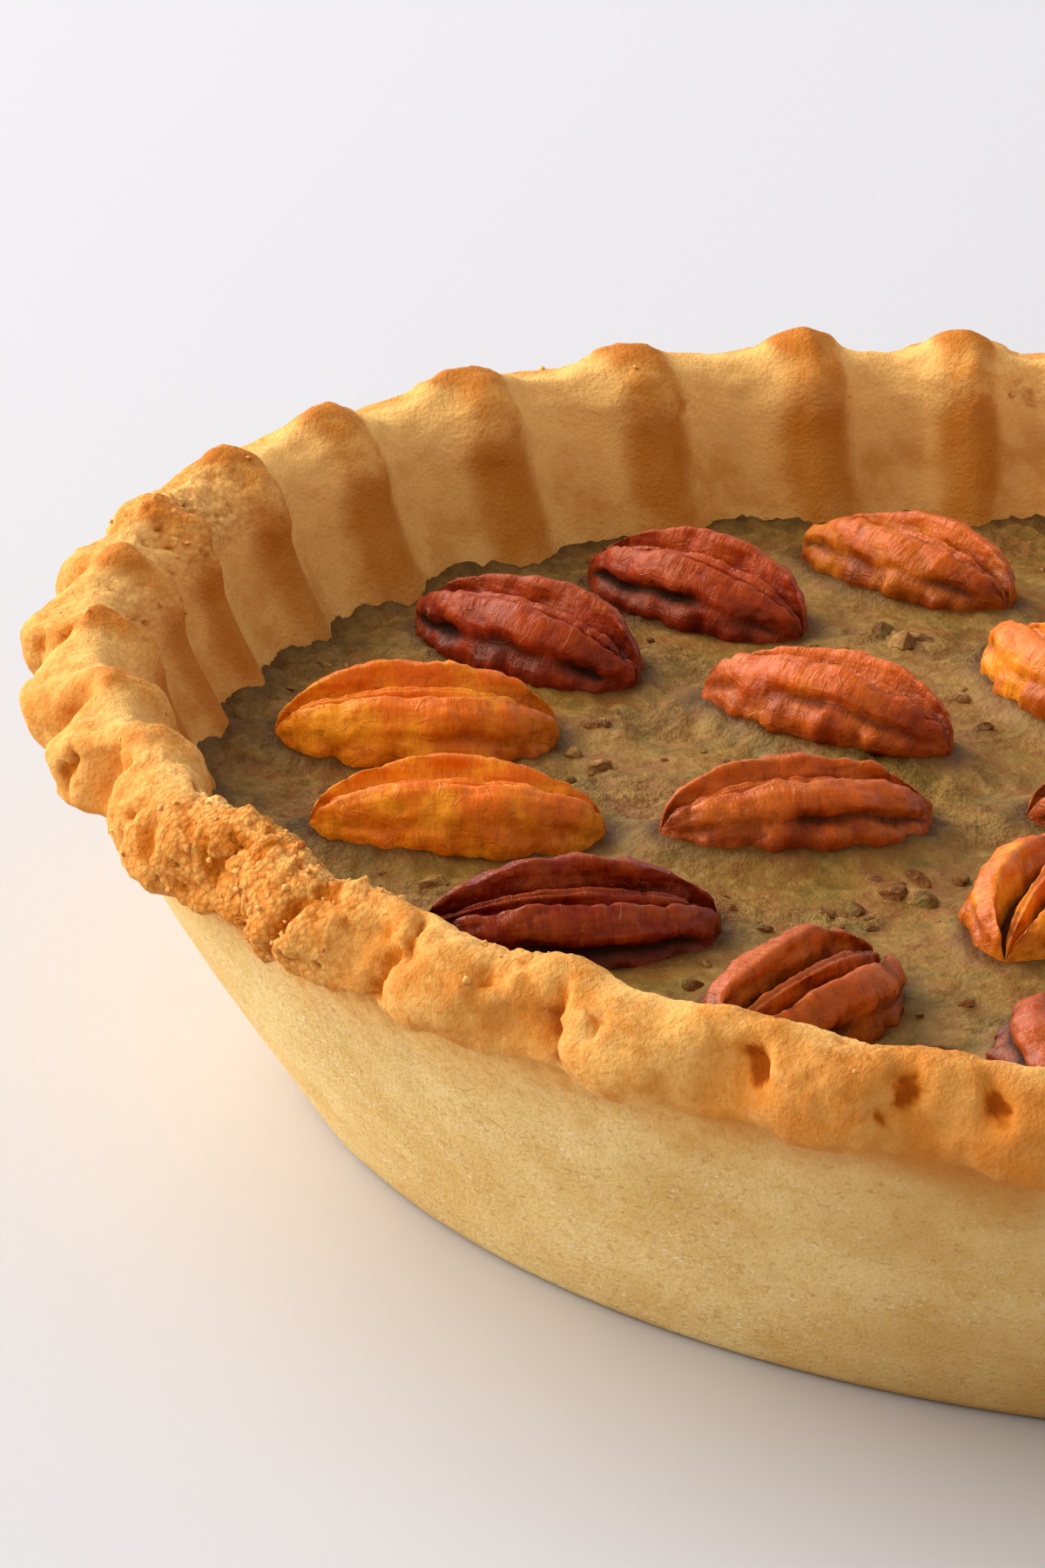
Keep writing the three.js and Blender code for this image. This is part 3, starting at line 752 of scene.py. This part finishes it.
def half_shape(piece, index, size, dried):
    """Moves the points of a round blank to the form of one half. Gives how deep in a groove each point is,
    how much its skin is rubbed there together with how high it lies, for painted light on the tops and
    painted shade low down, and where it lies in the half's own frame."""
    points = points_of(piece)
    points /= np.linalg.norm(points, axis=1)[:, None]
    ring = np.rint(np.arccos(np.clip(points[:, 0], -1, 1)) / np.pi * lengthways).astype(int)
    turn_at = np.rint(np.arctan2(points[:, 1], points[:, 2]) / (2 * np.pi) * around).astype(int)
    shaped, depth = np.empty_like(points), np.empty(len(points))
    for side, sign in enumerate((1, -1)):
        rows_over, depths = lobe_rows(index, side, size, dried)
        here = turn_at * sign >= 0
        shaped[here] = rows_over[np.abs(turn_at[here]), ring[here]] * (1, sign, 1)
        depth[here] = depths[np.abs(turn_at[here]), ring[here]]
    shaped[:, 1] += draw(index, 65, -0.6, 0.6) * (1 - (2 * shaped[:, 0] / size[0]) ** 2)
    set_points(piece, shaped)

    # The skin's fine wrinkles: long ones in the grooves and on the ridge, short ones across the lobes.
    facing = normals_of(piece)
    seen = shaped[:, 2] > 0.5
    open_skin = shaped[seen]
    on_lobe = 1 - depth[seen]
    wrinkle = np.zeros(len(shaped))
    wrinkle[seen] = 0.17 * fractal(open_skin * (0.2, 1.0, 1.0) + 31.7 * index, 0.9, 2)
    crosswise = fractal(open_skin * (1.0, 0.25, 0.3) + 17.3 * index, 0.85, 2)
    wrinkle[seen] += on_lobe * (0.2 * crosswise - 0.12 * np.abs(crosswise))
    wrinkle[seen] += 0.3 * fractal(open_skin + 9.1 * index, 3.2, 2)
    pinched = np.minimum(1, 3 * np.sqrt(np.clip(1 - (2 * shaped[:, 0] / size[0]) ** 2, 0, 1)))
    set_points(piece, shaped + facing * (wrinkle * pinched)[:, None])
    # Rubbed skin on the crests, and how high each place lies: the top gets painted light and the low sides
    # painted shade.
    worn_and_top_lit = ramp(shaped[:, 2] / size[2], 0.45, 0.95) * (1 - depth) + 1.6 * wrinkle
    return depth, np.clip(worn_and_top_lit, 0, 1), shaped


bpy.ops.object.select_all(action="DESELECT")
bpy.ops.mesh.primitive_uv_sphere_add(segments=around, ring_count=lengthways, radius=10 * mm)
blank = bpy.context.object
blank.name = "pecan_blank"
bpy.ops.object.mode_set(mode="EDIT")
bpy.ops.mesh.select_all(action="SELECT")
bpy.ops.transform.rotate(value=math.pi / 2, orient_axis="Y", center_override=(0, 0, 0))
bpy.ops.object.mode_set(mode="OBJECT")

nutskin = Finish("pecan_skin")
dark = nutskin.value("darkness")
red = nutskin.value("redness")
deep = nutskin.value("groove")
own_place = nutskin.add("ShaderNodeAttribute", {"attribute_name": "own_place"}, output="Vector")
fibre = nutskin.mottle(0.9, 4, 0.65, 1.7, own_place)
patch = nutskin.mottle(5.5, 3, 0.55, 5.3, own_place)
across_skin = nutskin.mottle(0.75, 3, 0.6, 3.9, nutskin.stretched(own_place, (1.0, 0.25, 0.35)))
along_skin = nutskin.mottle(0.8, 3, 0.6, 6.4, nutskin.stretched(own_place, (0.16, 1.0, 1.0)))
flake_edge = nutskin.add("ShaderNodeTexVoronoi", {"feature": "DISTANCE_TO_EDGE"}, {
    "Vector": nutskin.stretched(own_place, (1.0, 0.45, 0.6)), "Scale": 1 / (1.9 * mm),
})
flake = nutskin.rise(1 - flake_edge, 0.96, 1.0) * nutskin.rise(nutskin.mottle(1.6, 2, 0.5, 8.8), 0.5, 0.62)

pale_skin = nutskin.blend(nutskin.rise(patch, 0.32, 0.66), tint(255, 158, 30), tint(228, 108, 8))
brown_skin = nutskin.blend(nutskin.rise(patch, 0.35, 0.68), tint(112, 14, 1), tint(66, 2, 0))
red_skin = nutskin.blend(nutskin.rise(patch, 0.35, 0.68), tint(184, 62, 28), tint(146, 34, 8))
body = nutskin.blend(nutskin.rise(dark + (patch - 0.5) * 0.35, 0.0, 1.05), pale_skin, brown_skin)
body = nutskin.blend(red * nutskin.rise(dark, 0.15, 0.5) * 0.7, body, red_skin)
stem_end = nutskin.rise(nutskin.value("lengthwise") + (patch - 0.5) * 0.6, 0.45, 1.0)
body = nutskin.blend(stem_end * 0.5, body, tint(128, 34, 4))
rubbed_pale = 1 - 0.45 * dark
rubbed_and_lit_skin = nutskin.blend(dark, tint(230, 106, 12), tint(182, 74, 8))
# Lighter orange where the skin is rubbed on the crests, with a painted highlight on the tops of the lobes.
rubbed_and_lit_here = nutskin.value("worn_and_top_lit") + (fibre - 0.5) * 0.5 + (patch - 0.5) * 1.3
body = nutskin.blend(nutskin.rise(rubbed_and_lit_here, 0.55, 1.05) * 0.8 * rubbed_pale, body, rubbed_and_lit_skin)
body = nutskin.blend(nutskin.rise(across_skin, 0.5, 0.72) * 0.4 * rubbed_pale, body, tint(200, 84, 12))
body = nutskin.blend(nutskin.rise(1 - across_skin, 0.52, 0.72) * (0.24 + 0.2 * dark), body, tint(96, 14, 0))
body = nutskin.blend(nutskin.rise(1 - along_skin, 0.56, 0.72) * (0.24 + 0.2 * dark), body, tint(88, 12, 0))
body = nutskin.blend(flake * 0.12, body, tint(232, 146, 84))
# Darker skin and painted shade on the low sides of each half.
shaded = nutskin.rise(1 - nutskin.value("worn_and_top_lit") + (patch - 0.5) * 0.5, 0.55, 1.2)
body = nutskin.blend(shaded * (0.08 + 0.6 * dark), body, tint(58, 8, 1))
# Painted shade in the deep grooves, near black on the dark halves.
in_groove = nutskin.rise(deep + (fibre - 0.5) * 0.3, 0.15, 0.75)
groove_shade = nutskin.blend(nutskin.rise(dark, 0.1, 0.7), tint(92, 30, 4), tint(20, 3, 0))
body = nutskin.blend(in_groove * 0.96, body, groove_shade)
nutskin.shade(
    Base_Color=body,
    Roughness=0.27 + 0.22 * fibre + 0.4 * in_groove,
    Normal=nutskin.relief(across_skin * 0.5 + along_skin * 0.25 + fibre * 0.25 + flake * 0.15, 0.5),
    Specular_IOR_Level=0.32,
    Specular_Tint=(1.0, 0.6, 0.35, 1.0),
)

lies = {}
for index, name in enumerate(halves):
    lies[name] = lie_of(name)
    turned_in, middle, size = lies[name]
    half = blank.copy()
    half.data = blank.data.copy()
    half.name = name.replace("pecan", "pecan_half")
    bpy.context.collection.objects.link(half)
    darkness, redness = looks.get(name, (draw(index, 71, 0.1, 0.9), draw(index, 72, 0.2, 0.8)))
    groove, worn_and_top_lit, own = half_shape(half, index, size, min(1, darkness))
    set_points(half, points_of(half) @ turned_in.T + middle)
    set_value(half, "darkness", np.full(len(own), darkness))
    set_value(half, "redness", np.full(len(own), redness))
    set_value(half, "groove", groove)
    set_value(half, "worn_and_top_lit", worn_and_top_lit)
    set_value(half, "lengthwise", 0.5 - own[:, 0] / size[0])
    own_skin = half.data.attributes.new("own_place", "FLOAT_VECTOR", "POINT")
    own_skin.data.foreach_set("vector", ((own + 40 * index) * mm).ravel())
    half.data.materials.append(nutskin.material)
    pick(half)
    bpy.ops.object.shade_smooth()
    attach(half, "root")
    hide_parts(name)
bpy.data.objects.remove(blank)

# ---- Filling ----------------------------------------------------------------------------------------
# A custard of eggs, sugar and ground nuts, poured into the shell and baked until it set round the halves.
# Its top is dull and uneven, with painted shade along the crust, and a darker syrup stain with painted
# contact shadow round the nuts.

dome = 2.2
dome_radius = 88.0
lump = 0.35
tuck = 1.6
filling_rim = 1040
climbs_to = 2.2                       # how far up a half's edge the filling stands
climb_width = 2.2                     # and how far beside the half it starts to
nut_stain_and_shade = 1.4                       # how far the syrup stain and painted contact shadow reach beside a half
crust_shade_reach = 2.2                     # and how far painted shade reaches beside the crust


def filling_height(x, y):
    to_edge = np.minimum(1, np.hypot(x, y) / dome_radius)
    wave = 0.5 * np.sin(0.11 * x + 0.07 * y + 1) + 0.5 * np.sin(0.06 * x - 0.13 * y + 2.6)
    return level + dome * (1 - to_edge**4) + lump * wave


bpy.ops.object.select_all(action="DESELECT")
top_radius = level_radius + tuck
sole_share = (foot[0] - 1) / top_radius
bpy.ops.mesh.primitive_circle_add(vertices=filling_rim, radius=top_radius * mm, location=(0, 0, level * mm))
filling = bpy.context.object
filling.name = "filling_custard"
bpy.ops.object.mode_set(mode="EDIT")
bpy.ops.mesh.select_all(action="SELECT")
bpy.ops.mesh.fill_grid(span=filling_rim // 4)
bpy.ops.mesh.select_all(action="DESELECT")
bpy.ops.mesh.select_mode(type="EDGE")
bpy.ops.mesh.select_non_manifold()
bpy.ops.mesh.extrude_region_move()
bpy.ops.transform.resize(value=(sole_share, sole_share, 1), center_override=(0, 0, 0))
bpy.ops.transform.translate(value=(0, 0, (foot[1] + 0.4 - level) * mm))
bpy.ops.mesh.edge_face_add()
bpy.ops.mesh.select_all(action="SELECT")
bpy.ops.mesh.normals_make_consistent(inside=False)
bpy.ops.object.mode_set(mode="OBJECT")
bpy.ops.object.transform_apply(location=True, rotation=False, scale=False)

poured = points_of(filling)
is_top = poured[:, 2] > level - 0.5
poured[is_top, 2] = filling_height(poured[is_top, 0], poured[is_top, 1])
from_middle = np.hypot(poured[:, 0], poured[:, 1])
near_nut = np.zeros(len(poured))
climbs = np.zeros(len(poured))
for turned_in, middle, size in lies.values():
    own = (poured - middle) @ turned_in
    gauge = np.hypot(own[:, 0] / (size[0] / 2), own[:, 1] / (size[1] / 2)) - 1
    beside = np.clip(gauge, 0, 9) * size[1] / 2
    near_nut = np.maximum(near_nut, np.exp(-beside / nut_stain_and_shade))
    climb = np.clip(climbs_to - own[:, 2], 0, climbs_to) * bump_of(beside, climb_width)
    climbs = np.maximum(climbs, climb)

# The chopped nuts stand out of the filling where no half lies, and it rises a little round the large ones.
large_bits = 44
bit_doublings = 8
bit_size = 3.8
bits_reach = 86
small_bits_reach = 97.0
large_flatness, small_flatness = 0.75, 0.7


def under_a_half(x, y, clear):
    for turned_in, middle, size in lies.values():
        own = (np.array([x, y, level]) - middle) @ turned_in
        if abs(own[0]) < size[0] / 2 + clear and abs(own[1]) < size[1] / 2 + clear:
            return True
    return False


bit_places = []
index = 0
while len(bit_places) < large_bits:
    away = bits_reach * math.sqrt(draw(index, 21, 0, 1))
    angle = draw(index, 22, 0, 2 * math.pi)
    size = bit_size * draw(index, 23, 0.6, 1.25)
    x, y = away * math.cos(angle), away * math.sin(angle)
    if not under_a_half(x, y, size):
        bit_places.append((x, y, size, large_flatness))
    index += 1
while len(bit_places) < 2**bit_doublings:
    away = small_bits_reach * draw(index, 84, 0, 1) ** 0.42
    angle = draw(index, 85, 0, 2 * math.pi)
    x, y = away * math.cos(angle), away * math.sin(angle)
    if not under_a_half(x, y, 0.4):
        bit_places.append((x, y, draw(index, 86, 0.75, 1.3) ** 3.2, small_flatness))
    index += 1

round_bits = np.zeros(len(poured))
for x, y, size, _ in bit_places[:large_bits]:
    beside = np.hypot(poured[:, 0] - x, poured[:, 1] - y)
    round_bits = np.maximum(round_bits, 0.16 * size * bump_of(beside, 0.85 * size))

turned = np.arctan2(poured[:, 1], poured[:, 0])
order = np.argsort(angle_of % (2 * np.pi))
crust_edge = np.interp(
    turned % (2 * np.pi), (angle_of % (2 * np.pi))[order], flute(level_radius, flute_at_level)[order],
    period=2 * np.pi,
)
near_crust = np.exp(-np.clip(crust_edge - from_middle, 0, 99) / crust_shade_reach)
rough = fractal(poured, 6.5, 3)
pebble = fractal(poured + 40, 2.1, 3)
gritty = np.clip(ramp(fractal(poured + 80, 16, 2), 0.0, 0.5) + 0.8 * ramp(from_middle, 76, 96), 0, 1)
grit = np.zeros(len(poured))
grit[is_top] = grains(poured[is_top], 1.5)
uneven = (0.36 + 0.3 * gritty) * rough + (0.2 + 0.45 * gritty) * pebble + 0.3 * gritty * (grit - 0.4)
poured[is_top, 2] += (uneven + climbs + 0.7 * near_crust + round_bits)[is_top]
set_points(filling, poured)
set_value(filling, "near_nut", near_nut)
set_value(filling, "near_crust", near_crust)
set_value(filling, "gritty", gritty)
set_value(filling, "pebble", np.clip(0.5 + 0.5 * pebble + 0.3 * gritty * (grit - 0.5), 0, 1))
pick(filling)
bpy.ops.object.shade_smooth()

custard = Finish("set_custard")
cloud = custard.mottle(9, 3, 0.6, 2.1)
spot = custard.mottle(3.2, 3, 0.6, 4.3)
fleck = custard.mottle(1.1, 3, 0.6, 6.1)
fissure = custard.mottle(1.9, 4, 0.65, 19.3)
coarse = custard.rise(custard.value("gritty") + (cloud - 0.5) * 0.8, 0.2, 1.0)
hue = custard.mottle(5.0, 3, 0.6, 27.7)
top = custard.blend(custard.rise(cloud, 0.36, 0.66), tint(144, 102, 40), tint(120, 80, 24))
top = custard.blend(custard.rise(hue, 0.5, 0.62) * 0.7, top, tint(138, 84, 36))
top = custard.blend(custard.rise(1 - hue, 0.52, 0.64) * 0.6, top, tint(110, 90, 32))
top = custard.blend(custard.rise(spot, 0.52, 0.66) * 0.45, top, tint(166, 128, 62))
top = custard.blend(custard.rise(custard.value("pebble"), 0.4, 0.8) * 0.35, top, tint(168, 130, 64))
top = custard.blend(custard.rise(fleck, 0.6, 0.72) * (0.3 + 0.35 * coarse), top, tint(80, 48, 16))
top = custard.blend(custard.rise(1 - fleck, 0.6, 0.74) * (0.15 + 0.45 * coarse), top, tint(166, 130, 64))
top = custard.blend(custard.rise(1 - fissure, 0.52, 0.66) * (0.2 + 0.4 * coarse), top, tint(96, 66, 24))
# Painted shade along the crust.
top = custard.blend(custard.value("near_crust") * 0.7, top, tint(72, 44, 14))
# A syrup stain and painted contact shadow round each half.
top = custard.blend(custard.rise(custard.value("near_nut"), 0.1, 0.9) * 0.75, top, tint(70, 38, 10))
custard.shade(
    Base_Color=top,
    Roughness=0.42 + 0.25 * spot,
    Normal=custard.relief(fleck * 0.4 + spot * 0.5 + fissure * (0.4 + coarse), 0.9),
    Specular_IOR_Level=0.2,
    Specular_Tint=(1.0, 0.85, 0.6, 1.0),
)
filling.data.materials.append(custard.material)
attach(filling, "root")
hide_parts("filling")

# ---- Chopped nuts -----------------------------------------------------------------------------------
# Coarsely chopped pecans stirred into the filling before it was poured. The larger bits stand out of its
# top where no half lies, and the small ones lie thickest along the crust and in the gaps.

bits, chip_points = scattered_balls("nut_bits", 2, 0.55, bit_doublings)


def broken_bit(index, size, flatness):
    """A chip's points drawn in to the flat faces of one broken bit of nut, stretched and tumbled, and how
    much of the brown skin each still has."""
    sides = draw(np.arange(27) + 97.3 * index, 81, -1, 1).reshape(9, 3)
    sides /= np.linalg.norm(sides, axis=1)[:, None]
    ways = chip_points / np.linalg.norm(chip_points, axis=1)[:, None]
    facing_side = np.clip(ways @ sides.T, 0.05, 1)
    reach_out = (draw(np.arange(9) + 31.1 * index, 80, 0.3, 0.5) / facing_side).min(axis=1)
    broken = ways * np.minimum(reach_out, 0.62)[:, None] * (1.3, 0.9, flatness) * size
    tumbled = broken @ spun_and_tipped(draw(index, 82, 0, 6.28), draw(index, 83, -0.6, 0.6))
    return tumbled, ramp(ways @ sides[0], 0.0, 0.35)


bit_points, bit_kinds, bit_skins = [], [], []
for number, (x, y, size, flatness) in enumerate(bit_places):
    here, skin_left = broken_bit(number, size, flatness)
    bit_points.append(here + (x, y, filling_height(x, y) - 0.1 * size + 0.1))
    bit_kinds += [draw(number, 87, 0, 1)] * len(chip_points)
    bit_skins += skin_left.tolist()
set_points(bits, np.concatenate(bit_points))
set_value(bits, "kind", bit_kinds)
set_value(bits, "skin", bit_skins)
pick(bits)
bpy.ops.object.shade_smooth_by_angle(angle=math.radians(35))

chopped = Finish("chopped_nut")
kind = chopped.value("kind")
mealy = chopped.mottle(0.9, 3, 0.6, 12.1)
flesh = chopped.blend(chopped.rise(mealy, 0.35, 0.7), tint(178, 132, 70), tint(146, 100, 42))
flesh = chopped.blend(chopped.rise(kind, 0.5, 0.6), flesh, tint(104, 78, 22))
flesh = chopped.blend(chopped.rise(kind, 0.8, 0.85), flesh, tint(124, 70, 20))
flesh = chopped.blend(chopped.value("skin") * 0.85, flesh, tint(104, 48, 10))
flesh = chopped.blend(chopped.rise(mealy, 0.46, 0.62) * 0.6, flesh, tint(140, 102, 44))
chopped.shade(
    Base_Color=flesh,
    Roughness=0.5 + 0.3 * mealy,
    Normal=chopped.relief(mealy, 0.7),
    Specular_IOR_Level=0.15,
)
bits.data.materials.append(chopped.material)
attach(bits, "root")
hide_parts("filling")

# ---- Where it stands and how it is lit --------------------------------------------------------------
# A plain pale worktop under soft window light from behind on the left.

bpy.ops.object.select_all(action="DESELECT")
bpy.ops.mesh.primitive_plane_add(size=8, location=(0, 0, 0))
worktop = bpy.context.object
worktop.name = "worktop"
stone = Finish("pale_worktop")
stone.shade(Base_Color=tint(201, 200, 202), Roughness=0.5)
worktop.data.materials.append(stone.material)


def add_window(name, place, target, width, height, power, colour):
    bpy.ops.object.light_add(type="AREA", location=place)
    window = bpy.context.object
    window.name = name
    window.rotation_euler = (Vector(target) - Vector(place)).to_track_quat("-Z", "Y").to_euler()
    window.data.shape = "RECTANGLE"
    window.data.size, window.data.size_y = width, height
    window.data.energy = power
    window.data.color = colour


add_window("window", (-1.42, 0.42, 0.8), (0, 0, 0.02), 2.6, 1.5, 63, (1.0, 0.97, 0.94))
add_window("room", (0.2, -1.5, 1.0), (0, 0, 0.02), 1.6, 1.2, 1.8, (1.0, 0.96, 0.92))

world = bpy.data.worlds.new("room_air")
world.use_nodes = True
world.node_tree.nodes["Background"].inputs["Color"].default_value = tint(236, 238, 242)
world.node_tree.nodes["Background"].inputs["Strength"].default_value = 0.74
bpy.context.scene.world = world
bpy.context.scene.view_settings.view_transform = "Standard"

yaw, pitch, roll = (math.radians(lean) for lean in (4.96, 20.62, 4.46))
camera_back, camera_up = 0.766976, 0.314956
bpy.ops.object.camera_add(location=(0, -camera_back, camera_up))
camera = bpy.context.object
camera.name = "camera"
turned_and_tipped = Matrix.Rotation(yaw, 3, "Z") @ Matrix.Rotation(math.pi / 2 - pitch, 3, "X")
camera.rotation_euler = (turned_and_tipped @ Matrix.Rotation(roll, 3, "Z")).to_euler()
camera.data.sensor_width = 36
camera.data.lens = 180
bpy.context.scene.camera = camera

bpy.context.view_layer.update()
